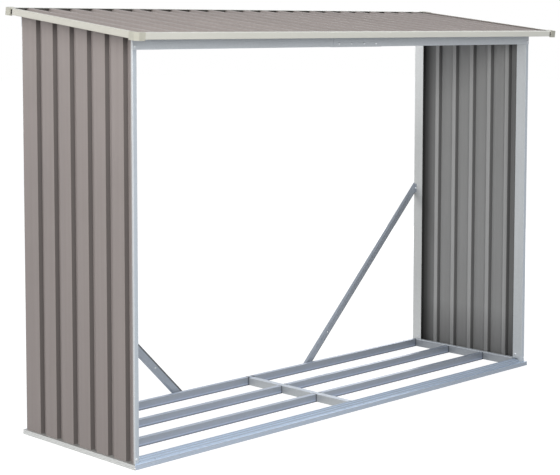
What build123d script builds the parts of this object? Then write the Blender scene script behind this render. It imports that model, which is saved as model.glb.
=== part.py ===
from build123d import *
from math import cos, radians, sin, sqrt, tan
import os

# Open-fronted metal log store with a lean-to roof that falls to the front.
# Millimetres. +X is to the right seen from the open front, +Y to the back, +Z up.
# The origin is on the ground, under the middle of the whole store.

# Walls
WALL_WIDTH = 2272.0  # over the outer faces of the side walls
WALL_DEPTH = 640.0  # front of the front posts to back of the back posts

# Ribbed sheet of the walls and the roof
SHEET_GAUGE = 0.8
RIB_PITCH = 100.0
RIB_BASE = 33.0
RIB_CREST = 20.0
FIRST_GROOVE = 35.5  # front of the wall to the middle of its first groove
SHEET_BEND = 2.0

# Cold-formed frame
FRAME_GAUGE = 1.0
FRAME_BEND = 2.0
POST_WEB = 18.0
POST_FLANGE = 50.0
POST_LIP = 9.0

# Base rails round the foot of the walls
BASE_LEDGE = 12.0  # how far the rails reach out past the walls
LEDGE_HEIGHT = 17.0
FOOT_RETURN = 8.0  # turned-in strip on the ground
LEDGE_STEP = 2.0  # upper half of the outer face stands back by this
LEDGE_STEP_HEIGHT = 6.5
BASE_RAIL_HEIGHT = 35.0
BASE_CHANNEL = 19.0  # width of the raised channel inside the walls
CORNER_CUT = 6.0

# Stepped front rail
SILL_HEIGHT = 31.5
SILL_DEPTH = 33.0  # front of the posts to the back of the rail
SILL_LEDGE = 11.0  # front of the posts to the first sloping riser
SILL_STEPS = 2
SILL_RISE = 5.0
SILL_RAMP = 4.0
SILL_LIP = 4.5
SILL_BEND = 1.5

# Floor bars
JOIST_HEIGHT = 32.0
JOIST_WIDTH = 22.0
JOIST_PITCH = 200.0
CROSS_BAR_WIDTH = 28.0

# Holes for ground anchors in the front and back rails
ANCHOR_HOLE = 5.5
ANCHOR_END = 95.0  # outer face of the wall to the first hole
ANCHOR_MIDDLE = 56.0  # middle of the store to the second hole
ANCHOR_SETBACK = 7.0

# Roof
FRONT_OVERHANG = 104.0
BACK_OVERHANG = 18.0
SIDE_OVERHANG = 68.0
ROOF_SLOPE = 6.85
EAVE_HEIGHT = 1481.3  # lowest edge of the front corner caps
TRIM_HEIGHT = 23.5
TRIM_GAUGE = 1.0
TRIM_LIP = 20.0
TRIM_LOWER_LIP = 10.0
TRIM_BEND = 1.8
TRIM_END_GAP = 0.5
TRIM_SLOT = 10.0  # drain slot beside two of the corner caps
ROOF_SHEETS = 4
ROOF_SHEET_INSET = 11.0  # inside of the front and back trims to the sheet ends
LAP_SETBACK = 4.0  # covered crest stops this far inside the crest above it

# Moulded corner caps
CAP_GAUGE = 3.5  # sides and underside
CAP_TOP_GAUGE = 1.2
CAP_LEG = 40.0
CAP_CHAMFER = 13.0
CAP_LIP = 8.0

# Rails under the roof
TOP_RAIL_DROP = 53.0
TOP_RAIL_FLANGE = 30.0
TOP_RAIL_LIP = 14.0
TOP_RAIL_GAP = 1.0
SIDE_RAIL_DROP = 40.0
SIDE_RAIL_LIP = 9.0
JOINER_LENGTH = 282.0
JOINER_TOP_GAP = 8.0

# Diagonal braces in the back
BRACE_WIDTH = 41.0
BRACE_FLAT = 24.0  # flat face between the two sloping sides
BRACE_DEPTH = 7.0
BRACE_ANGLE = 45.0
BRACE_FOOT = 742.0  # outer face of the wall to the brace, at the top of the base rail
BRACE_TAB = 40.0
BRACE_TAB_DEPTH = 10.0
BRACE_FOOT_GAP = 1.0  # end of the foot tab to the bend of the base rail

# Places worked out from the sizes above
HALF_WIDTH = WALL_WIDTH / 2
WALL_FRONT = (FRONT_OVERHANG - WALL_DEPTH - BACK_OVERHANG) / 2
WALL_BACK = WALL_FRONT + WALL_DEPTH
WALL_MIDDLE = (WALL_FRONT + WALL_BACK) / 2
SHEET_HEIGHT = POST_WEB - 2 * FRAME_GAUGE
RAIL_RISER = POST_WEB + FRAME_BEND
RAIL_BACK = RAIL_RISER + BASE_CHANNEL
LEFT_EDGE = -HALF_WIDTH - BASE_LEDGE
FRONT_EDGE = WALL_FRONT - BASE_LEDGE
BACK_EDGE = WALL_BACK + BASE_LEDGE

# Heights above the roof's lowest plane, square to the slope
CAP_HEIGHT = TRIM_HEIGHT + CAP_GAUGE + CAP_TOP_GAUGE
TRIM_TOP = CAP_GAUGE + TRIM_HEIGHT
CREST_TOP = TRIM_TOP - TRIM_GAUGE
SHEET_UNDERSIDE = CREST_TOP - SHEET_HEIGHT

# The roof's own frame: X across, Y up the slope, Z square to it
SLOPE = radians(ROOF_SLOPE)
ROOF_HALF = HALF_WIDTH + SIDE_OVERHANG
ROOF_START = WALL_FRONT - FRONT_OVERHANG + CAP_HEIGHT * sin(SLOPE)
ROOF_RUN = (WALL_BACK + BACK_OVERHANG - ROOF_START) / cos(SLOPE)
ROOF = Location((0, ROOF_START, EAVE_HEIGHT), (ROOF_SLOPE, 0, 0))
ROOF_PITCHES = 2 * int(ROOF_HALF // RIB_PITCH)


def roof_z(y, level):
    """Height of the plane at a level above the roof's lowest plane, over the place y."""
    return EAVE_HEIGHT + (y - ROOF_START) * tan(SLOPE) + level / cos(SLOPE)


def roof_run(y, level):
    """Distance up the slope of the place y, at a level."""
    return (y - ROOF_START + level * sin(SLOPE)) / cos(SLOPE)


def bent_sheet(points, gauge, bend, side):
    """Section of a folded sheet. The points are on the face away from the given side."""
    path = FilletPolyline(*points, radius=bend)
    return make_face(offset(path, amount=gauge, side=side, closed=True).edges())


def along_x(section, x_from, x_to, y_zero):
    plane = Plane(origin=(x_from, y_zero, 0), x_dir=(0, 1, 0), z_dir=(1, 0, 0))
    return extrude(plane * section, amount=x_to - x_from, dir=(1, 0, 0))


def along_y(section, y_from, y_to, x_zero):
    plane = Plane(origin=(x_zero, y_from, 0), x_dir=(1, 0, 0), z_dir=(0, -1, 0))
    return extrude(plane * section, amount=y_to - y_from, dir=(0, 1, 0))


def along_z(section, z_from, z_to, x_zero, y_zero):
    return extrude(Pos(x_zero, y_zero, z_from) * section, amount=z_to - z_from)


def block(low, high):
    size = [high[i] - low[i] for i in range(3)]
    corner = (Align.MIN, Align.MIN, Align.MIN)
    return Pos(*low) * Box(*size, align=corner)


def to_right(solid):
    return mirror(solid, about=Plane.YZ)


def to_back(solid):
    return mirror(solid, about=Plane.XZ.offset(-WALL_MIDDLE))


def below_roof(solid, level):
    """Cuts off what stands above a level of the roof's frame."""
    plane = Plane(ROOF * Location((0, 0, level)))
    return split(solid, bisect_by=plane, keep=Keep.BOTTOM)


def mitre_plane(y_corner, inward):
    """Vertical plane across a left corner. It faces the front or back rail."""
    return Plane(origin=(LEFT_EDGE, y_corner, 0), x_dir=(0, 0, 1), z_dir=(1, -inward, 0))


def chamfer_corner(solid, y_corner, inward):
    plane = Plane(origin=(LEFT_EDGE + CORNER_CUT, y_corner, 0), x_dir=(0, 0, 1), z_dir=(1, inward, 0))
    return split(solid, bisect_by=plane, keep=Keep.TOP)


# Base

def rail_lip():
    """Outer face of a base rail, from the ground up to the ledge."""
    upper_face = LEDGE_STEP - BASE_LEDGE
    return [
        (FOOT_RETURN - BASE_LEDGE, 0),
        (-BASE_LEDGE, 0),
        (-BASE_LEDGE, LEDGE_STEP_HEIGHT),
        (upper_face, LEDGE_STEP_HEIGHT + LEDGE_STEP),
        (upper_face, LEDGE_HEIGHT),
    ]


def base_rail_section():
    """Ledge for the wall, then the raised channel behind it."""
    points = rail_lip() + [
        (RAIL_RISER, LEDGE_HEIGHT),
        (RAIL_RISER, BASE_RAIL_HEIGHT),
        (RAIL_BACK, BASE_RAIL_HEIGHT),
        (RAIL_BACK, 0),
    ]
    return bent_sheet(points, FRAME_GAUGE, FRAME_BEND, Side.RIGHT)


def sill_section():
    """Front rail: a ledge, then ramps and treads up to a lip along its back edge."""
    lip_front = SILL_DEPTH - SILL_LIP
    step_run = (lip_front - SILL_LEDGE) / SILL_STEPS
    points = rail_lip()
    for step in range(SILL_STEPS):
        ramp = SILL_LEDGE + step * step_run
        low = LEDGE_HEIGHT + step * SILL_RISE
        points.append((ramp, low))
        points.append((ramp + SILL_RAMP, low + SILL_RISE))
    points += [
        (lip_front, LEDGE_HEIGHT + SILL_STEPS * SILL_RISE),
        (lip_front, SILL_HEIGHT),
        (SILL_DEPTH, SILL_HEIGHT),
        (SILL_DEPTH, 0),
    ]
    return bent_sheet(points, FRAME_GAUGE, SILL_BEND, Side.RIGHT)


def anchor_holes(y):
    """Drills for the two anchor holes of one left half rail."""
    places = [ANCHOR_END - HALF_WIDTH, -ANCHOR_MIDDLE]
    bottom = (Align.CENTER, Align.CENTER, Align.MIN)
    drill = Cylinder(ANCHOR_HOLE / 2, BASE_RAIL_HEIGHT, align=bottom)
    return [Pos(x, y, 0) * drill for x in places]


def base_side_rail():
    rail = along_y(base_rail_section(), FRONT_EDGE, BACK_EDGE, -HALF_WIDTH)
    for y_corner, inward in ((FRONT_EDGE, 1), (BACK_EDGE, -1)):
        rail = split(rail, bisect_by=mitre_plane(y_corner, inward), keep=Keep.BOTTOM)
        rail = chamfer_corner(rail, y_corner, inward)
    return rail


def base_front_rail():
    rail = along_x(sill_section(), LEFT_EDGE, 0, WALL_FRONT)
    rail = split(rail, bisect_by=mitre_plane(FRONT_EDGE, 1), keep=Keep.TOP)
    rail = chamfer_corner(rail, FRONT_EDGE, 1)
    post_foot = block(
        (LEFT_EDGE, WALL_FRONT, LEDGE_HEIGHT),
        (POST_WEB - HALF_WIDTH, WALL_FRONT + SILL_DEPTH, BASE_RAIL_HEIGHT),
    )
    rail -= post_foot
    for drill in anchor_holes(WALL_FRONT + ANCHOR_SETBACK):
        rail -= drill
    return rail


def base_back_rail():
    rail = along_x(base_rail_section(), LEFT_EDGE, 0, WALL_FRONT)
    rail = split(rail, bisect_by=mitre_plane(FRONT_EDGE, 1), keep=Keep.TOP)
    rail = chamfer_corner(rail, FRONT_EDGE, 1)
    for drill in anchor_holes(WALL_FRONT + ANCHOR_SETBACK):
        rail -= drill
    return to_back(rail)


def floor_bar_section(width):
    """Upturned channel that stands on its two edges."""
    points = [(0, 0), (0, JOIST_HEIGHT), (width, JOIST_HEIGHT), (width, 0)]
    return bent_sheet(points, FRAME_GAUGE, FRAME_BEND, Side.RIGHT)


def floor_joist(row):
    """Left half of a floor bar. Rows count forward from the back rail."""
    y_front = WALL_BACK - RAIL_BACK - row * JOIST_PITCH
    x_from = RAIL_BACK - HALF_WIDTH
    return along_x(floor_bar_section(JOIST_WIDTH), x_from, -CROSS_BAR_WIDTH / 2, y_front)


def centre_cross_bar():
    y_from = WALL_FRONT + SILL_DEPTH
    y_to = WALL_BACK - RAIL_BACK
    return along_y(floor_bar_section(CROSS_BAR_WIDTH), y_from, y_to, -CROSS_BAR_WIDTH / 2)


# Walls

def corner_post(edge):
    """Left post, drawn at the front. The edge is what its section has outside the web."""
    points = edge + [(POST_WEB, 0), (POST_WEB, POST_FLANGE)]
    section = bent_sheet(points, FRAME_GAUGE, FRAME_BEND, Side.LEFT)
    return along_z(section, LEDGE_HEIGHT, roof_z(WALL_BACK, CAP_HEIGHT), -HALF_WIDTH, WALL_FRONT)


def front_post():
    """Has a lip that clasps the front edge of the wall."""
    return below_roof(corner_post([(0, POST_LIP), (0, 0)]), SHEET_UNDERSIDE - FRAME_BEND)


def back_post():
    """Stops flush with the wall, whose sheet runs on to the back corner."""
    return below_roof(to_back(corner_post([(FRAME_GAUGE, 0)])), SHEET_UNDERSIDE - FRAME_BEND)


def groove_points(middle):
    """One wall groove, from the outer face to its bed and back."""
    outer = FRAME_GAUGE
    bed = POST_WEB - FRAME_GAUGE - SHEET_GAUGE
    return [
        (outer, middle - RIB_BASE / 2),
        (bed, middle - RIB_CREST / 2),
        (bed, middle + RIB_CREST / 2),
        (outer, middle + RIB_BASE / 2),
    ]


def groove_middles():
    """Middles of the wall grooves, counted from one edge of the wall."""
    room = WALL_DEPTH - FRAME_GAUGE - FIRST_GROOVE - RIB_BASE / 2 - SHEET_BEND
    grooves = int(room // RIB_PITCH) + 1
    return [FIRST_GROOVE + n * RIB_PITCH for n in range(grooves)]


def side_wall(middles):
    """Left wall with its grooves at the given distances from the front."""
    points = [(FRAME_GAUGE, FRAME_BEND)]
    for middle in middles:
        points += groove_points(middle)
    points.append((FRAME_GAUGE, WALL_DEPTH - FRAME_GAUGE))
    section = bent_sheet(points, SHEET_GAUGE, SHEET_BEND, Side.RIGHT)
    top = roof_z(WALL_BACK, CAP_HEIGHT)
    wall = along_z(section, LEDGE_HEIGHT, top, -HALF_WIDTH, WALL_FRONT)
    return below_roof(wall, SHEET_UNDERSIDE - FRAME_BEND)


def right_wall():
    """The same sheet turned end for end, so that its grooves are counted from the back."""
    return to_right(side_wall([WALL_DEPTH - middle for middle in reversed(groove_middles())]))


# Rails under the roof

def top_rail_section(y_face, inward):
    """Web outside the posts, lip below, and a flange on the slope of the roof.

    Local x is measured from the outer face of the web towards the inside.
    """
    top = roof_z(y_face, SHEET_UNDERSIDE)
    tip = TOP_RAIL_FLANGE * cos(SLOPE)
    points = [
        (TOP_RAIL_LIP, top - TOP_RAIL_DROP),
        (0, top - TOP_RAIL_DROP),
        (0, top),
        (tip, top + inward * tip * tan(SLOPE)),
    ]
    return bent_sheet(points, FRAME_GAUGE, FRAME_BEND, Side.RIGHT)


def top_front_rail():
    y_face = WALL_FRONT - FRAME_GAUGE
    rail = along_x(top_rail_section(y_face, 1), -HALF_WIDTH, 0, y_face)
    lip = roof_z(y_face, SHEET_UNDERSIDE) - TOP_RAIL_DROP
    return rail - post_notch(lip)


def post_notch(lip_height):
    """Room for a post through the lower lip of a top rail."""
    low = (-HALF_WIDTH - FRAME_GAUGE, WALL_FRONT, lip_height - FRAME_GAUGE)
    high = (POST_WEB - HALF_WIDTH, WALL_FRONT + TOP_RAIL_LIP + FRAME_GAUGE, lip_height + 2 * FRAME_BEND)
    return block(low, high)


def top_back_rail():
    """Drawn at the front and mirrored to the back, so its flange slopes down inwards."""
    y_face = WALL_BACK + FRAME_GAUGE
    section = top_rail_section(y_face, -1)
    rail = along_x(section, -HALF_WIDTH, 0, WALL_FRONT - FRAME_GAUGE)
    lip = roof_z(y_face, SHEET_UNDERSIDE) - TOP_RAIL_DROP
    return to_back(rail - post_notch(lip))


def rail_joiner(y_face):
    """Sleeve outside the meeting ends of a top rail, drawn at the front."""
    top = roof_z(y_face, SHEET_UNDERSIDE)
    lip = top - TOP_RAIL_DROP - FRAME_GAUGE
    points = [(TOP_RAIL_LIP, lip), (-FRAME_GAUGE, lip), (-FRAME_GAUGE, top - JOINER_TOP_GAP)]
    section = bent_sheet(points, FRAME_GAUGE, FRAME_BEND, Side.RIGHT)
    y_zero = WALL_FRONT - FRAME_GAUGE
    return along_x(section, -JOINER_LENGTH / 2, JOINER_LENGTH / 2, y_zero)


def top_side_rail():
    """Folded cap along the sloping top of a wall, from one cross rail to the other."""
    points = [
        (0, SHEET_UNDERSIDE - SIDE_RAIL_LIP),
        (0, SHEET_UNDERSIDE),
        (POST_WEB + FRAME_GAUGE, SHEET_UNDERSIDE),
        (POST_WEB + FRAME_GAUGE, SHEET_UNDERSIDE - SIDE_RAIL_DROP),
    ]
    section = bent_sheet(points, FRAME_GAUGE, FRAME_BEND, Side.RIGHT)
    inset = TOP_RAIL_FLANGE + TOP_RAIL_GAP
    run_from = roof_run(WALL_FRONT - FRAME_GAUGE, SHEET_UNDERSIDE) + inset
    run_to = roof_run(WALL_BACK + FRAME_GAUGE, SHEET_UNDERSIDE) - inset
    return ROOF * along_y(section, run_from, run_to, -HALF_WIDTH)


# Roof

def rib_points(middle):
    """One roof rib, from the pan over the crest to the next pan."""
    pan = SHEET_UNDERSIDE + SHEET_GAUGE
    return [
        (middle - RIB_BASE / 2, pan),
        (middle - RIB_CREST / 2, CREST_TOP),
        (middle + RIB_CREST / 2, CREST_TOP),
        (middle + RIB_BASE / 2, pan),
    ]


def roof_sheet(number):
    """One roof sheet. Its right edge laps over the first crest of the next sheet."""
    pan = SHEET_UNDERSIDE + SHEET_GAUGE
    before = round(number * ROOF_PITCHES / ROOF_SHEETS)
    ribs = round((number + 1) * ROOF_PITCHES / ROOF_SHEETS) - before
    left = (before - ROOF_PITCHES / 2) * RIB_PITCH
    right = left + ribs * RIB_PITCH
    inside = ROOF_HALF - CAP_GAUGE - TRIM_BEND
    first = number == 0
    last = number == ROOF_SHEETS - 1
    covered = CREST_TOP - SHEET_GAUGE
    start = -inside if first else left - RIB_CREST / 2 + LAP_SETBACK
    crest = CREST_TOP if first else covered
    points = [
        (start, crest),
        (left + RIB_CREST / 2, crest),
        (left + RIB_BASE / 2, pan),
    ]
    for n in range(1, ribs):
        points += rib_points(left + n * RIB_PITCH)
    points += [
        (right - RIB_BASE / 2, pan),
        (right - RIB_CREST / 2, CREST_TOP),
        (inside if last else right + RIB_CREST / 2, CREST_TOP),
    ]
    section = bent_sheet(points, SHEET_GAUGE, SHEET_BEND, Side.RIGHT)
    inset = CAP_GAUGE + TRIM_GAUGE + ROOF_SHEET_INSET
    return ROOF * along_y(section, inset, ROOF_RUN - inset, 0)


def trim_section():
    """Channel that opens inwards. Local x runs in from the outer face of the caps."""
    points = [
        (CAP_GAUGE + TRIM_LIP, TRIM_TOP),
        (CAP_GAUGE, TRIM_TOP),
        (CAP_GAUGE, CAP_GAUGE),
        (CAP_GAUGE + TRIM_LOWER_LIP, CAP_GAUGE),
    ]
    return bent_sheet(points, TRIM_GAUGE, TRIM_BEND, Side.LEFT)


def cross_trim():
    """Left half of the front trim, in the roof's frame."""
    x_from = -ROOF_HALF + CAP_CHAMFER + CAP_GAUGE * sqrt(2)
    return along_x(trim_section(), x_from, 0, 0)


def slotted_cross_trim():
    """The same with a drain slot in its face, beside the cap."""
    slot_start = CAP_LEG - ROOF_HALF
    low = (slot_start, 0, 0)
    high = (slot_start + TRIM_SLOT, slot_depth(), TRIM_TOP - TRIM_GAUGE - TRIM_BEND)
    return cross_trim() - block(low, high)


def slotted_side_trim():
    """Trim of the left verge, with a drain slot beside its front cap."""
    inset = CAP_GAUGE + TRIM_LIP + TRIM_END_GAP
    trim = along_y(trim_section(), inset, ROOF_RUN - inset, -ROOF_HALF)
    low = (-ROOF_HALF, CAP_LEG, 0)
    high = (slot_depth() - ROOF_HALF, CAP_LEG + TRIM_SLOT, TRIM_TOP - TRIM_GAUGE - TRIM_BEND)
    return trim - block(low, high)


def slot_depth():
    """Outer face of the caps to the inside of a trim's lower bend."""
    return CAP_GAUGE + TRIM_GAUGE + TRIM_BEND


def to_roof_back(solid):
    """Mirrors a piece in the roof's frame from the eave to the high edge."""
    return mirror(solid, about=Plane.XZ.offset(-ROOF_RUN / 2))


def cap_band(inset, depth, low, high):
    """L-shaped band with a cut corner, in the plan of the roof's front left corner."""
    cut = CAP_CHAMFER + (sqrt(2) - 1) * inset
    inner_cut = CAP_CHAMFER + (sqrt(2) - 1) * (inset + depth)
    near = inset
    far = inset + depth
    points = [
        (near, CAP_LEG),
        (near, cut),
        (cut, near),
        (CAP_LEG, near),
        (CAP_LEG, far),
        (inner_cut, far),
        (far, inner_cut),
        (far, CAP_LEG),
    ]
    face = make_face(Polyline(*points, close=True))
    return along_z(face, low, high, -ROOF_HALF, 0)


def corner_cap():
    """Hollow corner piece that slips over the trims at the roof's front left corner."""
    shell = cap_band(0, CAP_GAUGE + CAP_LIP, 0, CAP_HEIGHT)
    room = cap_band(CAP_GAUGE, CAP_GAUGE + CAP_LIP, CAP_GAUGE, TRIM_TOP)
    return shell - room


# Braces

def brace_section():
    """Flat face to the front, between sides that slope back. Local x is across the brace."""
    half = BRACE_WIDTH / 2
    flat = BRACE_FLAT / 2
    back = BRACE_DEPTH - FRAME_GAUGE
    points = [(-half, back), (-flat, 0), (flat, 0), (half, back)]
    return bent_sheet(points, FRAME_GAUGE, FRAME_BEND, Side.LEFT)


def brace():
    """Left brace, from the ledge of the back rail up to the back post, with a tab at each end."""
    angle = radians(BRACE_ANGLE)
    face = WALL_BACK - BRACE_DEPTH
    inside = face + FRAME_GAUGE
    post_face = POST_WEB - HALF_WIDTH
    rise = BASE_RAIL_HEIGHT - LEDGE_HEIGHT
    foot_x = BRACE_FOOT - HALF_WIDTH + rise / tan(angle)
    length = (BRACE_FOOT - POST_WEB) / cos(angle) + 2 * BRACE_WIDTH
    across = Plane(
        origin=(foot_x, face, LEDGE_HEIGHT),
        x_dir=(sin(angle), 0, cos(angle)),
        z_dir=(-cos(angle), 0, sin(angle)),
    ).offset(-BRACE_WIDTH)
    arm = extrude(across * brace_section(), amount=length)
    arm = split(arm, bisect_by=Plane.XY.offset(LEDGE_HEIGHT), keep=Keep.TOP)
    arm = split(arm, bisect_by=Plane.YZ.offset(post_face), keep=Keep.TOP)
    foot_half = BRACE_FLAT / 2 / sin(angle)
    foot_front = WALL_BACK - RAIL_RISER + FRAME_BEND + BRACE_FOOT_GAP
    foot_tab = block(
        (foot_x - foot_half, foot_front, LEDGE_HEIGHT),
        (foot_x + foot_half, inside, LEDGE_HEIGHT + FRAME_GAUGE),
    )
    head_height = BASE_RAIL_HEIGHT + (BRACE_FOOT - POST_WEB) * tan(angle)
    head_tab = block(
        (post_face, inside - BRACE_TAB_DEPTH, head_height - BRACE_TAB / 2),
        (post_face + FRAME_GAUGE, inside, head_height + BRACE_TAB / 2),
    )
    return arm + foot_tab + head_tab


def write_parts():
    left_and_right = {
        "base_side_rail": base_side_rail(),
        "base_front_rail": base_front_rail(),
        "base_back_rail": base_back_rail(),
        "floor_joist_back": floor_joist(1),
        "floor_joist_front": floor_joist(2),
        "front_post": front_post(),
        "back_post": back_post(),
        "top_front_rail": top_front_rail(),
        "top_back_rail": top_back_rail(),
        "top_side_rail": top_side_rail(),
        "back_brace": brace(),
    }
    parts = {}
    for name, solid in left_and_right.items():
        parts[name + "_left"] = solid
        parts[name + "_right"] = to_right(solid)
    parts["side_wall_left"] = side_wall(groove_middles())
    parts["side_wall_right"] = right_wall()
    parts["centre_cross_bar"] = centre_cross_bar()
    parts["front_rail_joiner"] = rail_joiner(WALL_FRONT - FRAME_GAUGE)
    parts["back_rail_joiner"] = to_back(rail_joiner(WALL_BACK + FRAME_GAUGE))
    for number in range(ROOF_SHEETS):
        parts["roof_sheet_" + str(number + 1)] = roof_sheet(number)
    parts["front_trim_left"] = ROOF * cross_trim()
    parts["front_trim_right"] = ROOF * to_right(slotted_cross_trim())
    parts["back_trim_left"] = ROOF * to_roof_back(slotted_cross_trim())
    parts["back_trim_right"] = ROOF * to_roof_back(to_right(cross_trim()))
    parts["verge_trim_left"] = ROOF * to_roof_back(slotted_side_trim())
    parts["verge_trim_right"] = ROOF * to_right(slotted_side_trim())
    cap = corner_cap()
    parts["corner_cap_front_left"] = ROOF * cap
    parts["corner_cap_front_right"] = ROOF * to_right(cap)
    parts["corner_cap_back_left"] = ROOF * to_roof_back(cap)
    parts["corner_cap_back_right"] = ROOF * to_roof_back(to_right(cap))
    os.makedirs("parts", exist_ok=True)
    for name, solid in parts.items():
        export_step(solid, "parts/" + name + ".step")


write_parts()
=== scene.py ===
import bmesh
import bpy
from math import cos, pi, radians, sin, tan
from mathutils import Euler, Matrix, Vector


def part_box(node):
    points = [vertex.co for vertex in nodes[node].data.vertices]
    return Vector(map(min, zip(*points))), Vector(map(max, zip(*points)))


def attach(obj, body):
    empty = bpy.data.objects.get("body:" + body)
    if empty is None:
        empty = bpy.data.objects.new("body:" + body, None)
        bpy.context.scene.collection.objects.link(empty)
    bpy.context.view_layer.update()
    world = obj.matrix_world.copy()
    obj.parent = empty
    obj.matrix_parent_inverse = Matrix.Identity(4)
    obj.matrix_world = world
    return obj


# Looks of the open-fronted metal log store: coated ribbed sheet, galvanised frame,
# pale painted trims, plastic corner caps, and the screws that hold them together.
# Metres. +X is to the right seen from the open front, +Y to the back, +Z up.

# Camera at the photo's viewing angle. Its turns are in degrees.
CAMERA_PLACE = (-4.368, -4.215, 1.5355)
CAMERA_TURN = 44.854
CAMERA_DIP = 4.616
CAMERA_ROLL = -0.052
CAMERA_LENS = 96.1
CAMERA_SHIFT_X = 0.0068
CAMERA_SHIFT_Y = -0.1643
SENSOR_WIDTH = 36

# The roof's slope, and the heights of a corner cap and of the sheets' crests square to it
ROOF_SLOPE = radians(6.85)
CAP_HEIGHT = 0.0282
CREST_TOP = 0.026

# Ribbed sheet: the depths between which a groove takes on its painted brightness, and the brightness
# painted into the grooves' beds, backs and flanks: shade on the wall flanks and the roof's beds, light
# on the wall beds, the backs of the grooves and the roof's flanks
RIB_DEPTH = 0.0145
GROOVE_TOP = 0.01015
WALL_BED_SHADE = 1.12
ROOF_BED_SHADE = 0.92
BED_SHINE = 1.32
WALL_FLANK_SHADE = 0.39
ROOF_FLANK_SHADE = 1.04

# Painted shade on a wall's inner face, beside the posts and at the foot: where it thins out,
# measured from a post or the ground, and how dark it is. Painted light makes the outer face a little
# lighter at the head.
FRONT_POST_SHADE_REACH = (0.03, 0.06)
FRONT_POST_SHADE = 0.58
BACK_POST_SHADE_REACH = (0.018, 0.083)
BACK_POST_SHADE = 0.2
WALL_FOOT_SHADE_REACH = (0.04, 0.24)
WALL_FOOT_SHADE = 0.55
WALL_HEAD_REACH = (1.0, 1.45)
WALL_HEAD_SHADES = (0.98, 1.09)

# Colours as they look under plain white light, with painted light and shade in those noted below
SHEET_TAUPE = (154, 146, 144)
# The roof's taupe is the walls' taupe made lighter: painted light
ROOF_TAUPE = (158, 150, 147)
SHEET_BACKING = (162, 162, 162)
TRIM_CREAM = (221, 221, 213)
# The verge's cream is the trims' cream made darker: painted shade
VERGE_CREAM = (203, 201, 191)
# The trims' backings are their bare back coat, made darker with painted shade
TRIM_BACK_COAT_AND_SHADE = (102, 99, 95)
VERGE_BACK_COAT_AND_SHADE = (190, 188, 181)
CAP_CREAM = (190, 189, 177)
# One galvanised zinc: the parts' colours are lit and shaded copies of it, the _UP colours are painted
# light and shade on faces that look up, and POST_WEB_ZINC is painted front light
ZINC = (203, 207, 210)
ZINC_UP = (204, 213, 226)
TOP_ZINC = (203, 209, 215)
POST_WEB_ZINC = (187, 196, 205)
BACK_POST_ZINC = (202, 204, 204)
LEDGE_ZINC = (211, 213, 212)
LEDGE_ZINC_UP = (164, 164, 162)
BASE_ZINC = (162, 170, 182)
BASE_ZINC_UP = (186, 197, 214)
RAIL_ZINC = (166, 171, 177)
SILL_ZINC = (184, 195, 210)
SILL_ZINC_UP = (214, 232, 255)
BRACE_ZINC = (172, 180, 191)
FOOT_BLUE = (160, 172, 194)
SCREW_ZINC = (222, 226, 230)
FLOOR_GREY = 0.35
WHITE = (1.0, 1.0, 1.0, 1.0)

# Marks on the base: how bright each is, and how far it reaches. Painted shade darkens the base toward
# the right wall, the sill's risers and back edge, the bars' joints and their lower edge; painted
# highlights lie on the bars low down and on the side rail's upper edge.
BASE_RIGHT_SHADE = 0.77
BASE_RIGHT_SHADE_END = 1.15
BARS_RIGHT_SHADE_FROM = 0.1
SILL_RIGHT_SHADE_FROM = -0.3
SILL_LINE_SHADE = 0.72
SILL_LIP_REACH = (0.002, 0.005)
RISER_TILT = 0.55
RISER_TILT_REACH = (0.2, 0.33)
JOINT_SHADE = 0.3
JOINT_REACH = (0.003, 0.009)
LOWER_EDGE_SHADE = 0.35
LOWER_EDGE_REACH = (0.002, 0.005)
LOW_HIGHLIGHT_SHINE = 1.35
LOW_HIGHLIGHT_HEIGHT = 0.008
LOW_HIGHLIGHT_REACH = (0.001, 0.003)
FOOT_BLUE_REACH = (0.004, 0.026)
TOP_EDGE_HIGHLIGHT = 1.6
TOP_EDGE_HIGHLIGHT_REACH = (0.002, 0.004)

# The same for the back posts, the folded sides of the braces and the front trim, all painted light and
# shade
POST_HEAD_SHINE = 1.48
POST_HEAD_REACH = (1.0, 1.42)
POST_FOOT_SHINE = 1.2
POST_FOOT_REACH = (0.0, 0.35)
BRACE_LEFT_SHADE = 0.8
BRACE_RIGHT_SHADE = 0.16
FRONT_TRIM_SHADES = (0.91, 1.17)
TRIM_ENDS = (-1.2, 1.2)

# How far a face has to look one way before it takes on another shade or colour
PAINTED_TURN = (-0.05, 0.05)
FLANK_TURN = (0.15, 0.8)
UPWARD_TURN = (0.2, 0.9)
FORWARD_TURN = (-0.9, -0.5)
INWARD_TURN = (-0.9, -0.6)
BRACE_LEFT_TURN = (-0.4, -0.2)
BRACE_RIGHT_TURN = (0.02, 0.2)

# Grain of rolled strip: the texture is drawn out along one axis
GRAIN_ACROSS = (4, 90, 90)
GRAIN_DEEP = (90, 4, 90)
GRAIN_TALL = (90, 90, 4)
SHEET_GRAIN = (60, 0.8, 60)
TRIM_GRAIN = (3, 60, 60)

# Most of a noise texture lies between these values
NOISE_SPAN = (0.3, 0.7)

# Least and most rough spots
SHEET_ROUGHNESS = (0.52, 0.62)
ZINC_ROUGHNESS = (0.36, 0.46)

# Sizes of the screws and nuts
PAN_RADIUS = 0.0045
PAN_HEIGHT = 0.0026
NUT_RADIUS = 0.0041
NUT_HEIGHT = 0.0032
NUT_FLANGE = 0.0052
BOLT_RADIUS = 0.0020
SHARP_EDGE = radians(32)

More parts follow.
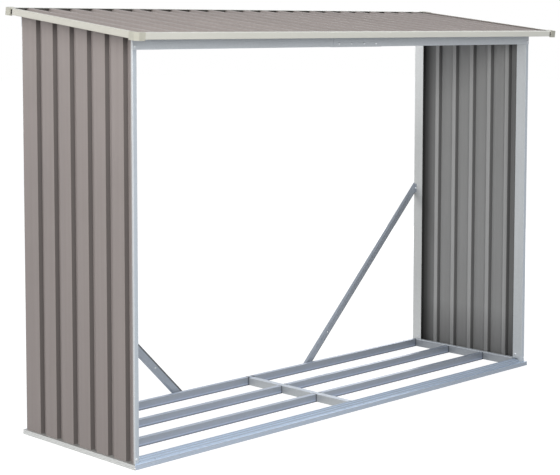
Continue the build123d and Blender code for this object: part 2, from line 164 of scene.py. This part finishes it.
# Their places, measured from the edges of the pieces that they hold. Those on the joiners and
# the rows on the roof are measured from the store's middle.
FOOT_SCREW_RISE = 0.031
LIP_SCREW_RISE = 0.017
LIP_SCREW_INSET = 0.0056
WEB_SCREW_INSET = 0.014
SIDE_RAIL_RISE = 0.01965
SIDE_RAIL_FRONT_INSET = 0.01522
SIDE_RAIL_BACK_INSET = 0.01599
RAIL_END_INSET = 0.009
FRONT_RAIL_RISE = 0.01266
BACK_RAIL_RISE = 0.01754
BACK_JOINER_RISE = 0.01354
JOINER_SCREWS = (0.036, 0.108)
BRACE_SCREW_RUN = 0.162
BRACE_SCREW_RISE = 0.133
HEAD_TAB_DEPTH = 0.006
HEAD_TAB_DROP = 0.02549
FOOT_TAB_DEPTH = 0.005
FOOT_TAB_RUN = 0.029
LAP_INSET = 0.01
ROOF_SCREW_ROWS = (-0.255, 0.045, 0.335)

# Where the lines that find those places start
OUTSIDE = 0.5
OVER_TAB = 0.1
OVER_ROOF = 1.7

# Directions, and the two sides with the word that their nodes end with
FORWARD = (0, -1, 0)
BACKWARD = (0, 1, 0)
DOWN = (0, 0, -1)
SIDES = ((-1, "left"), (1, "right"))

# Stage
FLOOR_HALF = 30.0
FLOOR_GLOW = 0.86
SKY_COLOUR = (0.95, 0.97, 1.0, 1)
SKY_STRENGTH = 0.48
STORE_MIDDLE = (0, 0, 0.8)
LEFT_WALL = (-1.1, 0, 0.9)
RIGHT_WALL = (1.1, 0, 0.8)


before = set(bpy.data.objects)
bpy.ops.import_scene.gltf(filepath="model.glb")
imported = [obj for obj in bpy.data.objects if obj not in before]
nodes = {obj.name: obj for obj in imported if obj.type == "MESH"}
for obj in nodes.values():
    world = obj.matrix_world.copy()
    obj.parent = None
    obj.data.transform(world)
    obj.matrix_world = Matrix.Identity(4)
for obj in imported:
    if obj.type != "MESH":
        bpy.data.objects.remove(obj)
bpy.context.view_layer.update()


def linear(colour):
    """Linear colour of an 8-bit display colour."""
    values = []
    for channel in colour:
        share = channel / 255
        if share <= 0.04045:
            values.append(share / 12.92)
        else:
            values.append(((share + 0.055) / 1.055) ** 2.4)
    return (*values, 1.0)


# Node trees

def add(tree, kind, settings=None, **inputs):
    """A new node. Settings are its attributes, inputs its socket values; _ stands for a space."""
    node = tree.nodes.new(kind)
    for name, value in (settings or {}).items():
        setattr(node, name, value)
    for name, value in inputs.items():
        node.inputs[name.replace("_", " ")].default_value = value
    return node


def feed(tree, value, socket):
    """Gives an input a plain value, or links another node's output to it."""
    if isinstance(value, bpy.types.NodeSocket):
        tree.links.new(value, socket)
    else:
        socket.default_value = value


def math_node(tree, operation, *values):
    node = add(tree, "ShaderNodeMath", {"operation": operation})
    for value, socket in zip(values, node.inputs):
        feed(tree, value, socket)
    return node.outputs[0]


def times(tree, first, *others):
    """The product of several factors."""
    product = first
    for other in others:
        product = math_node(tree, "MULTIPLY", product, other)
    return product


def off_middle(tree, value, middle):
    """How far a value is from a middle, to either side."""
    return math_node(tree, "ABSOLUTE", math_node(tree, "SUBTRACT", value, middle))


def ramp(tree, factor, span, values):
    """Maps a factor from a span to a pair of values, clamped."""
    node = add(tree, "ShaderNodeMapRange", {"clamp": True})
    for value, socket in zip((factor, *span, *values), node.inputs):
        feed(tree, value, socket)
    return node.outputs[0]


def parts(tree, vector):
    """A vector's outputs X, Y and Z."""
    node = add(tree, "ShaderNodeSeparateXYZ")
    tree.links.new(vector, node.inputs[0])
    return node.outputs


def normal(tree):
    return add(tree, "ShaderNodeNewGeometry").outputs["Normal"]


def facing(tree, direction):
    """How far a face looks along a direction, from -1 to 1."""
    node = add(tree, "ShaderNodeVectorMath", {"operation": "DOT_PRODUCT"})
    feed(tree, normal(tree), node.inputs[0])
    feed(tree, direction, node.inputs[1])
    return node.outputs["Value"]


def scaled_colour(tree, colour, factor):
    """A colour, or another node's colour, times a brightness."""
    node = add(tree, "ShaderNodeVectorMath", {"operation": "SCALE"})
    if isinstance(colour, tuple):
        colour = colour[:3]
    feed(tree, colour, node.inputs[0])
    feed(tree, factor, node.inputs["Scale"])
    return node.outputs[0]


def mixed_colour(tree, factor, first, second):
    """The first colour where the factor is 0, and the second where it is 1."""
    node = add(tree, "ShaderNodeMix", {"data_type": "RGBA"})
    sockets = {socket.identifier: socket for socket in (*node.inputs, *node.outputs)}
    feed(tree, factor, sockets["Factor_Float"])
    feed(tree, first, sockets["A_Color"])
    feed(tree, second, sockets["B_Color"])
    return sockets["Result_Color"]


def placed(tree, location=(0, 0, 0), rotation=(0, 0, 0)):
    """Object coordinates seen from a frame of their own."""
    coordinates = add(tree, "ShaderNodeTexCoord")
    turn = add(tree, "ShaderNodeMapping", {"vector_type": "TEXTURE"}, Location=location, Rotation=rotation)
    tree.links.new(coordinates.outputs["Object"], turn.inputs["Vector"])
    return turn.outputs[0]


def drawn_out(tree, place, grain):
    """Coordinates for a texture with a grain."""
    stretch = add(tree, "ShaderNodeMapping", Scale=grain)
    tree.links.new(place, stretch.inputs["Vector"])
    return stretch.outputs[0]


def noise(tree, vector, scale, detail=3.0, roughness=0.5):
    node = add(tree, "ShaderNodeTexNoise", Scale=scale, Detail=detail, Roughness=roughness)
    tree.links.new(vector, node.inputs["Vector"])
    return node.outputs[0]


def around_one(tree, factor, span, spread):
    """A brightness that stays within a small share of 1."""
    return ramp(tree, factor, span, (1 - spread, 1 + spread))


def mottle(tree, vector, scale, spread):
    """A brightness that wanders around 1 from place to place."""
    return around_one(tree, noise(tree, vector, scale), NOISE_SPAN, spread)


def bump(tree, shader, height, distance, strength):
    node = add(tree, "ShaderNodeBump", Strength=strength, Distance=distance)
    tree.links.new(height, node.inputs["Height"])
    tree.links.new(node.outputs[0], shader.inputs["Normal"])


def new_material(name, metallic=0.0, specular=0.5, roughness=0.5):
    material = bpy.data.materials.new(name)
    material.use_nodes = True
    tree = material.node_tree
    shader = tree.nodes["Principled BSDF"]
    shader.inputs["Roughness"].default_value = roughness
    shader.inputs["Metallic"].default_value = metallic
    shader.inputs["Specular IOR Level"].default_value = specular
    return material, tree, shader


# Ribbed sheet

def painted_wall_shade(tree, spot, clean_from, clean_to):
    """Painted shade on a wall's inner face: darker beside the posts and at the foot."""
    from_front = math_node(tree, "SUBTRACT", spot["Y"], clean_from)
    from_back = math_node(tree, "SUBTRACT", clean_to, spot["Y"])
    at_front = ramp(tree, from_front, FRONT_POST_SHADE_REACH, (FRONT_POST_SHADE, 1))
    at_back = ramp(tree, from_back, BACK_POST_SHADE_REACH, (BACK_POST_SHADE, 1))
    at_foot = ramp(tree, spot["Z"], WALL_FOOT_SHADE_REACH, (WALL_FOOT_SHADE, 1))
    return times(tree, at_front, at_back, at_foot)


def coated_sheet(name, sheet_frame, taupe, shades, post_edges=None):
    """Colour-coated ribbed sheet. In the sheet's own frame Z points out and Y runs along the ribs.

    Shades are the painted shade and light of the flanks and of the beds of its grooves. Post edges are
    the places from front to back where a wall's posts end; beside them the inner face takes painted
    shade, and the outer face takes painted light at its head.
    """
    material, tree, shader = new_material(name, specular=0.2)
    origin, rotation = sheet_frame
    flank_shade, bed_shade = shades
    place = placed(tree, origin, rotation)
    turn = Euler(rotation).to_matrix()
    painted = ramp(tree, facing(tree, turn @ Vector((0, 0, 1))), PAINTED_TURN, (0, 1))
    steepness = math_node(tree, "ABSOLUTE", facing(tree, turn @ Vector((1, 0, 0))))
    # Painted shade on the wall flanks, painted light on the roof's flanks
    flank = ramp(tree, steepness, FLANK_TURN, (1, flank_shade))
    streaks = mottle(tree, drawn_out(tree, place, SHEET_GRAIN), scale=1.0, spread=0.035)
    clouds = mottle(tree, place, scale=2.4, spread=0.03)
    shade = times(tree, streaks, clouds, flank)
    height = parts(tree, place)["Z"]
    # Painted brightness in the grooves: light on the wall beds and on the backs, shade on the roof's beds
    groove = (-RIB_DEPTH, -GROOVE_TOP)
    outer_shade = times(tree, shade, ramp(tree, height, groove, (bed_shade, 1)))
    inner_shade = times(tree, shade, ramp(tree, height, groove, (BED_SHINE, 1)))
    # Painted shade beside the posts and at the foot inside, painted light at the head outside
    if post_edges:
        spot = parts(tree, placed(tree))
        inner_shade = times(tree, inner_shade, painted_wall_shade(tree, spot, *post_edges))
        outer_shade = times(tree, outer_shade, ramp(tree, spot["Z"], WALL_HEAD_REACH, WALL_HEAD_SHADES))
    outer = scaled_colour(tree, linear(taupe), outer_shade)
    inner = scaled_colour(tree, linear(SHEET_BACKING), inner_shade)
    feed(tree, mixed_colour(tree, painted, inner, outer), shader.inputs["Base Color"])
    gloss = ramp(tree, noise(tree, place, scale=9.0), NOISE_SPAN, SHEET_ROUGHNESS)
    feed(tree, gloss, shader.inputs["Roughness"])
    peel = noise(tree, place, scale=420.0, detail=2.0)
    bump(tree, shader, peel, distance=0.00025, strength=0.35)
    return material


def wall_frame(side):
    """Origin and turn of a wall's outer face. Side is -1 on the left and 1 on the right."""
    origin = (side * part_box("side_wall_right")[1].x, 0, 0)
    turn = Matrix(((0, 0, side), (side, 0, 0), (0, 1, 0))).to_euler()
    return origin, tuple(turn)


def roof_frame():
    """Origin and turn of the plane of the roof's crests, which starts under a front cap."""
    cap_low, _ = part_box("corner_cap_front_left")
    y = cap_low.y + (CAP_HEIGHT - CREST_TOP) * sin(ROOF_SLOPE)
    z = cap_low.z + CREST_TOP * cos(ROOF_SLOPE)
    return (0, y, z), (ROOF_SLOPE, 0, 0)


# Galvanised frame

def galvanised(name, grain, zinc, zinc_up, zinc_front=None, marks=None):
    """Zinc with a soft spangle, in one colour for upright faces and one for those that look up; the
    second is painted light and shade.

    Those that look forward may have a third colour, of painted front light. Marks adds the painted
    light and shade that one kind of part shows besides: it takes the tree, the parts of the place and
    of the normal, the tint and the shade, and gives back the last two.
    """
    material, tree, shader = new_material(name, metallic=0.25)
    place = placed(tree)
    rolled = drawn_out(tree, place, grain)
    cells = add(tree, "ShaderNodeTexVoronoi", Scale=150.0, Randomness=1.0)
    tree.links.new(place, cells.inputs["Vector"])
    cell_colour = add(tree, "ShaderNodeSeparateColor")
    tree.links.new(cells.outputs["Color"], cell_colour.inputs[0])
    flake = cell_colour.outputs[0]
    spangle = around_one(tree, flake, (0, 1), spread=0.025)
    rolling = mottle(tree, rolled, scale=1.0, spread=0.02)
    cloud = noise(tree, place, scale=6.0, detail=5.0, roughness=0.6)
    bloom = around_one(tree, cloud, (0.35, 0.7), spread=0.015)
    shade = times(tree, spangle, rolling, bloom)
    axes = parts(tree, normal(tree))
    upward = ramp(tree, axes["Z"], UPWARD_TURN, (0, 1))
    tint = mixed_colour(tree, upward, linear(zinc), linear(zinc_up))
    if zinc_front:
        forward = ramp(tree, axes["Y"], FORWARD_TURN, (1, 0))
        tint = mixed_colour(tree, forward, tint, linear(zinc_front))
    if marks:
        tint, shade = marks(tree, parts(tree, place), axes, tint, shade)
    feed(tree, scaled_colour(tree, tint, shade), shader.inputs["Base Color"])
    feed(tree, ramp(tree, flake, (0, 1), ZINC_ROUGHNESS), shader.inputs["Roughness"])
    bump(tree, shader, noise(tree, rolled, scale=2.5), distance=0.0003, strength=0.2)
    return material


def shaded_toward_right(tree, spot, start):
    """Painted shade on the base, which darkens it from a start toward the right wall."""
    return ramp(tree, spot["X"], (start, BASE_RIGHT_SHADE_END), (1, BASE_RIGHT_SHADE))


def bar_marks(tree, spot, axes, tint, shade):
    """Floor bars: painted shade in the joints at their ends, bluer low down, with a painted shade line and
    a painted highlight line at the rolled lower edge.
    """
    low_end, high_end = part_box("floor_joist_front_right")
    along = math_node(tree, "ABSOLUTE", spot["X"])
    # Painted shade in the joints
    for end in (low_end.x, high_end.x):
        joint = ramp(tree, off_middle(tree, along, end), JOINT_REACH, (JOINT_SHADE, 1))
        shade = times(tree, shade, joint)
    # Painted shade line at the lower edge, and a painted highlight line above it
    lower_edge = ramp(tree, spot["Z"], LOWER_EDGE_REACH, (LOWER_EDGE_SHADE, 1))
    low_highlight = ramp(tree, off_middle(tree, spot["Z"], LOW_HIGHLIGHT_HEIGHT), LOW_HIGHLIGHT_REACH, (LOW_HIGHLIGHT_SHINE, 1))
    foot = ramp(tree, spot["Z"], FOOT_BLUE_REACH, (1, 0))
    tint = mixed_colour(tree, foot, tint, linear(FOOT_BLUE))
    return tint, times(tree, shade, shaded_toward_right(tree, spot, BARS_RIGHT_SHADE_FROM), lower_edge, low_highlight)


def sill_marks(tree, spot, axes, tint, shade):
    """The stepped sill: painted shade darkens its sloping risers and its back edge into lines between the
    treads, and darkens it toward the right wall.
    """
    riser = ramp(tree, off_middle(tree, axes["Z"], RISER_TILT), RISER_TILT_REACH, (SILL_LINE_SHADE, 1))
    from_back = math_node(tree, "SUBTRACT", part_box("base_front_rail_left")[1].y, spot["Y"])
    lip = ramp(tree, from_back, SILL_LIP_REACH, (SILL_LINE_SHADE, 1))
    return tint, times(tree, shade, riser, lip, shaded_toward_right(tree, spot, SILL_RIGHT_SHADE_FROM))


def post_marks(tree, spot, axes, tint, shade):
    """The back posts: painted light makes them brighter at the head, and a little at the foot."""
    head = ramp(tree, spot["Z"], POST_HEAD_REACH, (1, POST_HEAD_SHINE))
    foot = ramp(tree, spot["Z"], POST_FOOT_REACH, (POST_FOOT_SHINE, 1))
    return tint, times(tree, shade, head, foot)


def rail_marks(tree, spot, axes, tint, shade):
    """The right side rail of the base: a painted highlight along its upper edge."""
    from_top = math_node(tree, "SUBTRACT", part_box("base_side_rail_right")[1].z, spot["Z"])
    top_highlight = ramp(tree, from_top, TOP_EDGE_HIGHLIGHT_REACH, (TOP_EDGE_HIGHLIGHT, 1))
    return tint, times(tree, shade, top_highlight)


def brace_marks(tree, spot, axes, tint, shade):
    """The folded sides of a brace: painted shade makes them dark on the right, and darker on an upper left
    side.
    """
    fall = math_node(tree, "SUBTRACT", axes["X"], axes["Z"])
    left = ramp(tree, fall, BRACE_LEFT_TURN, (BRACE_LEFT_SHADE, 1))
    right = ramp(tree, axes["X"], BRACE_RIGHT_TURN, (1, BRACE_RIGHT_SHADE))
    return tint, times(tree, shade, left, right)


# Trims, caps and screws

def painted_trim(name, outward, cream, back_coat_and_shade, end_shades=(1, 1)):
    """Pale painted trim. Its inner faces, which look against outward, are bare of the top coat and
    darkened with painted shade.

    End shades are those of its left and right ends: painted shade and light.
    """
    material, tree, shader = new_material(name, roughness=0.38)
    place = placed(tree)
    clouds = mottle(tree, place, scale=3.0, spread=0.02)
    streaks = mottle(tree, drawn_out(tree, place, TRIM_GRAIN), scale=1.0, spread=0.01)
    # Painted shade and light toward its ends
    ends = ramp(tree, parts(tree, place)["X"], TRIM_ENDS, end_shades)
    inner = ramp(tree, facing(tree, outward), INWARD_TURN, (1, 0))
    coat = mixed_colour(tree, inner, linear(cream), linear(back_coat_and_shade))
    colour = scaled_colour(tree, coat, times(tree, clouds, streaks, ends))
    feed(tree, colour, shader.inputs["Base Color"])
    peel = noise(tree, place, scale=420.0, detail=2.0)
    bump(tree, shader, peel, distance=0.0002, strength=0.3)
    return material


def moulded_plastic():
    material, tree, shader = new_material("cap_plastic")
    place = placed(tree)
    clouds = mottle(tree, place, scale=25.0, spread=0.03)
    feed(tree, scaled_colour(tree, linear(CAP_CREAM), clouds), shader.inputs["Base Color"])
    moulding = noise(tree, place, scale=1500.0, detail=2.0)
    bump(tree, shader, moulding, distance=0.00015, strength=0.5)
    return material


def screw_finish(name, colour, metallic):
    material, tree, shader = new_material(name, metallic=metallic, roughness=0.35)
    place = placed(tree)
    shade = ramp(tree, noise(tree, place, scale=300.0), NOISE_SPAN, (0.85, 1.05))
    feed(tree, scaled_colour(tree, linear(colour), shade), shader.inputs["Base Color"])
    bump(tree, shader, noise(tree, place, scale=900.0), distance=0.0001, strength=0.4)
    return material


def finishes():
    """Each finish under the first words of the nodes that wear it."""
    roof_shades = (ROOF_FLANK_SHADE, ROOF_BED_SHADE)
    wall_shades = (WALL_FLANK_SHADE, WALL_BED_SHADE)
    worn = {"roof_sheet": coated_sheet("roof_paint", roof_frame(), ROOF_TAUPE, roof_shades)}
    for side, word in SIDES:
        post_edges = (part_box("front_post_" + word)[1].y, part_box("back_post_" + word)[0].y)
        paint = coated_sheet("wall_paint_" + word, wall_frame(side), SHEET_TAUPE, wall_shades, post_edges)
        worn["side_wall_" + word] = paint
        verge = painted_trim(word + "_verge_paint", (side, 0, 0), VERGE_CREAM, VERGE_BACK_COAT_AND_SHADE)
        worn["verge_trim_" + word] = verge
    front_paint = painted_trim("front_trim_paint", FORWARD, TRIM_CREAM, TRIM_BACK_COAT_AND_SHADE, FRONT_TRIM_SHADES)
    worn["front_trim"] = front_paint
    worn["back_trim"] = painted_trim("back_trim_paint", BACKWARD, TRIM_CREAM, TRIM_BACK_COAT_AND_SHADE)
    worn["corner_cap"] = moulded_plastic()
    worn["front_post"] = galvanised("front_post_zinc", GRAIN_TALL, ZINC, ZINC_UP, POST_WEB_ZINC)
    worn["back_post"] = galvanised("back_post_zinc", GRAIN_TALL, BACK_POST_ZINC, ZINC_UP, marks=post_marks)
    worn["back_brace"] = galvanised("brace_zinc", GRAIN_TALL, BRACE_ZINC, BASE_ZINC_UP, marks=brace_marks)
    top_across = galvanised("top_zinc", GRAIN_ACROSS, TOP_ZINC, ZINC_UP)
    for name in ("top_front_rail", "top_back_rail", "front_rail_joiner", "back_rail_joiner"):
        worn[name] = top_across
    plain_deep = galvanised("plain_zinc", GRAIN_DEEP, ZINC, ZINC_UP)
    for name in ("top_side_rail", "centre_cross_bar"):
        worn[name] = plain_deep
    bars = galvanised("bar_zinc", GRAIN_ACROSS, BASE_ZINC, BASE_ZINC_UP, marks=bar_marks)
    for name in ("floor_joist", "base_back_rail"):
        worn[name] = bars
    sill = galvanised("sill_zinc", GRAIN_ACROSS, SILL_ZINC, SILL_ZINC_UP, marks=sill_marks)
    worn["base_front_rail"] = sill
    worn["base_side_rail_left"] = galvanised("ledge_zinc", GRAIN_DEEP, LEDGE_ZINC, LEDGE_ZINC_UP)
    side_rail = galvanised("side_rail_zinc", GRAIN_DEEP, RAIL_ZINC, RAIL_ZINC, marks=rail_marks)
    worn["base_side_rail_right"] = side_rail
    return worn


def dress_nodes():
    choices = finishes()
    for name, piece in nodes.items():
        finish = next(choice for words, choice in choices.items() if name.startswith(words))
        piece.data.materials.clear()
        piece.data.materials.append(finish)


# Screws and nuts

def turned(mesh, seat, rings):
    """A closed solid of rings standing on a seat. Each ring is its height and its corners' radii."""
    loops = []
    for height, radii in rings:
        loop = []
        for index, radius in enumerate(radii):
            angle = 2 * pi * index / len(radii)
            corner = Vector((radius * cos(angle), radius * sin(angle), height))
            loop.append(mesh.verts.new(seat @ corner))
        loops.append(loop)
    mesh.faces.new(loops[0][::-1])
    mesh.faces.new(loops[-1])
    for lower, upper in zip(loops, loops[1:]):
        for index, corner in enumerate(lower):
            after = (index + 1) % len(lower)
            mesh.faces.new((corner, lower[after], upper[after], upper[index]))


def turned_round(mesh, seat, profile, radius, height, corners):
    """A turned solid. Its profile is pairs of a share of the height and a share of the radius."""
    turned(mesh, seat, [(rise * height, [share * radius] * corners) for rise, share in profile])


def pan_screw(mesh, seat):
    """Domed head with a cross recess."""
    rings = []
    for rise, share in ((-0.2, 1), (0.36, 1), (0.6, 0.94), (0.84, 0.78), (0.97, 0.6), (1, 0.5)):
        rings.append((rise * PAN_HEIGHT, [share * PAN_RADIUS] * 16))
    for rise, arm, heart in ((1, 0.46, 0.15), (0.45, 0.32, 0.12)):
        recess = [(heart if index % 4 else arm) * PAN_RADIUS for index in range(16)]
        rings.append((rise * PAN_HEIGHT, recess))
    turned(mesh, seat, rings)


def flange_nut(mesh, seat):
    """Hexagon nut on a round flange, with the end of its bolt."""
    turned_round(mesh, seat, ((-0.2, 1), (0.2, 1), (0.34, 0.84)), NUT_FLANGE, NUT_HEIGHT, 20)
    turned_round(mesh, seat, ((0.2, 1), (0.88, 1), (1, 0.9)), NUT_RADIUS, NUT_HEIGHT, 6)
    turned_round(mesh, seat, ((0.8, 1), (1.5, 1), (1.7, 0.75)), BOLT_RADIUS, NUT_HEIGHT, 12)


def seat_on(name, start, direction):
    """The frame of the place where a line first meets a node, Z out of its face."""
    met, place, outward, _ = nodes[name].ray_cast(Vector(start), Vector(direction))
    if not met:
        raise ValueError("no face of " + name + " on this line")
    return Matrix.Translation(place) @ outward.to_track_quat("Z", "Y").to_matrix().to_4x4()


def hardware(name, kind, places, material):
    """One piece with a screw or nut at each place. A place is a node, a start and a direction."""
    mesh = bmesh.new()
    for place in places:
        kind(mesh, seat_on(*place))
    data = bpy.data.meshes.new(name)
    mesh.to_mesh(data)
    mesh.free()
    data.shade_smooth()
    data.set_sharp_from_angle(angle=SHARP_EDGE)
    data.materials.append(material)
    piece = bpy.data.objects.new(name, data)
    bpy.context.scene.collection.objects.link(piece)
    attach(piece, "root")


def post_screws(side, word):
    """At the foot of a front post, in its lip and its web, and in the web of a back post."""
    outward = (side, 0, 0)
    front_low, front_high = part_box("front_post_right")
    back_low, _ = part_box("back_post_right")
    lip = (side * (front_high.x - LIP_SCREW_INSET), -OUTSIDE, front_low.z + LIP_SCREW_RISE)
    front_web = (0, front_high.y - WEB_SCREW_INSET, front_low.z + FOOT_SCREW_RISE)
    back_web = (0, back_low.y + WEB_SCREW_INSET, back_low.z + FOOT_SCREW_RISE)
    return [
        ("front_post_" + word, lip, BACKWARD),
        ("front_post_" + word, front_web, outward),
        ("back_post_" + word, back_web, outward),
    ]


def top_rail_screws(side, word):
    """At both ends of the rail under the roof's side, and at the outer ends of the long rails."""
    outward = (side, 0, 0)
    side_low, side_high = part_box("top_side_rail_right")
    screws = []
    for y in (side_low.y + SIDE_RAIL_FRONT_INSET, side_high.y - SIDE_RAIL_BACK_INSET):
        z = side_low.z + SIDE_RAIL_RISE + (y - side_low.y) * tan(ROOF_SLOPE)
        screws.append(("top_side_rail_" + word, (0, y, z), outward))
    front_low, front_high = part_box("top_front_rail_right")
    back_low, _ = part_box("top_back_rail_right")
    x = side * (front_high.x - RAIL_END_INSET)
    screws.append(("top_front_rail_" + word, (x, -OUTSIDE, front_low.z + FRONT_RAIL_RISE), BACKWARD))
    screws.append(("top_back_rail_" + word, (x, OUTSIDE, back_low.z + BACK_RAIL_RISE), FORWARD))
    return screws


def brace_screws(side, word):
    """Low on the brace's face, in its head tab and in its foot tab."""
    low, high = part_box("back_brace_right")
    face = (side * (low.x + BRACE_SCREW_RUN), 0, low.z + BRACE_SCREW_RISE)
    head = (0, low.y + HEAD_TAB_DEPTH, high.z - HEAD_TAB_DROP)
    foot = (side * (low.x + FOOT_TAB_RUN), low.y + FOOT_TAB_DEPTH, OVER_TAB)
    name = "back_brace_" + word
    return [(name, face, BACKWARD), (name, head, (side, 0, 0)), (name, foot, DOWN)]


def joiner_heights():
    """Heights of the bolts through the front and the back joiner."""
    front_low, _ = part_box("top_front_rail_right")
    back_low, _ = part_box("top_back_rail_right")
    return front_low.z + FRONT_RAIL_RISE, back_low.z + BACK_JOINER_RISE


def screw_places():
    """Every pan head of the frame, as a node, a start and a direction."""
    front_z, back_z = joiner_heights()
    screws = []
    for side, word in SIDES:
        screws += post_screws(side, word)
        screws += top_rail_screws(side, word)
        screws += brace_screws(side, word)
        for x in JOINER_SCREWS:
            screws.append(("front_rail_joiner", (side * x, -OUTSIDE, front_z), BACKWARD))
            screws.append(("back_rail_joiner", (side * x, OUTSIDE, back_z), FORWARD))
    return screws


def nut_places():
    """Inside the long rails, behind the screws of the joiners."""
    front_z, back_z = joiner_heights()
    nuts = []
    for side, word in SIDES:
        for x in JOINER_SCREWS:
            nuts.append(("top_front_rail_" + word, (side * x, 0, front_z), FORWARD))
            nuts.append(("top_back_rail_" + word, (side * x, 0, back_z), BACKWARD))
    return nuts


def roof_screw_places():
    """Through the crests where two roof sheets lap."""
    places = []
    for name in ("roof_sheet_1", "roof_sheet_2", "roof_sheet_3"):
        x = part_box(name)[1].x - LAP_INSET
        for y in ROOF_SCREW_ROWS:
            places.append((name, (x, y, OVER_ROOF), DOWN))
    return places


# Stage

def seen_directly(tree):
    """1 for rays from the camera, and for those that a glossy or a clear surface passes on."""
    path = add(tree, "ShaderNodeLightPath")
    seen = math_node(tree, "MAXIMUM", path.outputs["Is Camera Ray"], path.outputs["Is Glossy Ray"])
    return math_node(tree, "MAXIMUM", seen, path.outputs["Is Transmission Ray"])


def mixed_shader(tree, factor, first, second):
    """The first shader where the factor is 0, and the second where it is 1."""
    node = add(tree, "ShaderNodeMixShader")
    for value, socket in zip((factor, first, second), node.inputs):
        tree.links.new(value, socket)
    return node.outputs[0]


def stage_floor():
    """A floor that looks white, lights the store as grey, and is clear from below."""
    material = bpy.data.materials.new("floor_paint")
    material.use_nodes = True
    tree = material.node_tree
    tree.nodes.clear()
    output = add(tree, "ShaderNodeOutputMaterial")
    matt = add(tree, "ShaderNodeBsdfDiffuse", Color=(FLOOR_GREY, FLOOR_GREY, FLOOR_GREY, 1))
    glow = add(tree, "ShaderNodeEmission", Color=WHITE, Strength=FLOOR_GLOW)
    both = add(tree, "ShaderNodeAddShader")
    tree.links.new(matt.outputs[0], both.inputs[0])
    tree.links.new(glow.outputs[0], both.inputs[1])
    white = mixed_shader(tree, seen_directly(tree), matt.outputs[0], both.outputs[0])
    below = add(tree, "ShaderNodeNewGeometry").outputs["Backfacing"]
    clear = add(tree, "ShaderNodeBsdfTransparent").outputs[0]
    tree.links.new(mixed_shader(tree, below, white, clear), output.inputs["Surface"])
    mesh = bpy.data.meshes.new("floor")
    half = FLOOR_HALF
    corners = [(-half, -half, 0), (half, -half, 0), (half, half, 0), (-half, half, 0)]
    mesh.from_pydata(corners, [], [(0, 1, 2, 3)])
    mesh.materials.append(material)
    floor = bpy.data.objects.new("floor", mesh)
    bpy.context.scene.collection.objects.link(floor)


def softbox(name, place, target, size, power, colour):
    light = bpy.data.lights.new(name, "AREA")
    light.shape = "SQUARE"
    light.size = size
    light.energy = power
    light.color = colour
    lamp = bpy.data.objects.new(name, light)
    lamp.location = place
    direction = Vector(target) - Vector(place)
    lamp.rotation_euler = direction.to_track_quat("-Z", "Y").to_euler()
    bpy.context.scene.collection.objects.link(lamp)


def studio_world():
    """A sky that looks white and lights the store softly."""
    world = bpy.data.worlds.new("studio")
    world.use_nodes = True
    tree = world.node_tree
    tree.nodes.clear()
    output = add(tree, "ShaderNodeOutputWorld")
    soft = add(tree, "ShaderNodeBackground", Color=SKY_COLOUR, Strength=SKY_STRENGTH)
    white = add(tree, "ShaderNodeBackground", Color=WHITE, Strength=1.0)
    sky = mixed_shader(tree, seen_directly(tree), soft.outputs[0], white.outputs[0])
    tree.links.new(sky, output.inputs["Surface"])
    bpy.context.scene.world = world


def studio_lights():
    warm = (1.0, 0.985, 0.95)
    rosy = (1.0, 0.97, 0.93)
    cool = (0.90, 0.95, 1.0)
    plain = WHITE[:3]
    softbox("key_light", (-3.2, -3.8, 2.35), STORE_MIDDLE, size=2.0, power=128, colour=warm)
    softbox("side_light", (-4.4, 0.3, 2.0), LEFT_WALL, size=1.5, power=28, colour=rosy)
    softbox("top_light", (-0.5, 0.0, 6.0), STORE_MIDDLE, size=4.0, power=54, colour=cool)
    softbox("right_light", (4.6, 2.6, 1.3), RIGHT_WALL, size=2.4, power=36, colour=plain)
    softbox("back_light", (-3.0, 3.6, 2.0), RIGHT_WALL, size=2.0, power=24, colour=plain)


def photo_camera():
    data = bpy.data.cameras.new("camera")
    data.lens = CAMERA_LENS
    data.sensor_width = SENSOR_WIDTH
    data.shift_x = CAMERA_SHIFT_X
    data.shift_y = CAMERA_SHIFT_Y
    camera = bpy.data.objects.new("camera", data)
    camera.location = CAMERA_PLACE
    camera.rotation_euler = (radians(90 - CAMERA_DIP), radians(CAMERA_ROLL), radians(-CAMERA_TURN))
    bpy.context.scene.collection.objects.link(camera)
    bpy.context.scene.camera = camera
    bpy.context.scene.view_settings.view_transform = "Standard"


dress_nodes()
steel = screw_finish("screw_zinc", SCREW_ZINC, metallic=0.85)
painted_steel = screw_finish("screw_paint", SHEET_TAUPE, metallic=0.0)
hardware("frame_screws", pan_screw, screw_places(), steel)
hardware("rail_nuts", flange_nut, nut_places(), steel)
hardware("roof_screws", pan_screw, roof_screw_places(), painted_steel)
stage_floor()
studio_world()
studio_lights()
photo_camera()
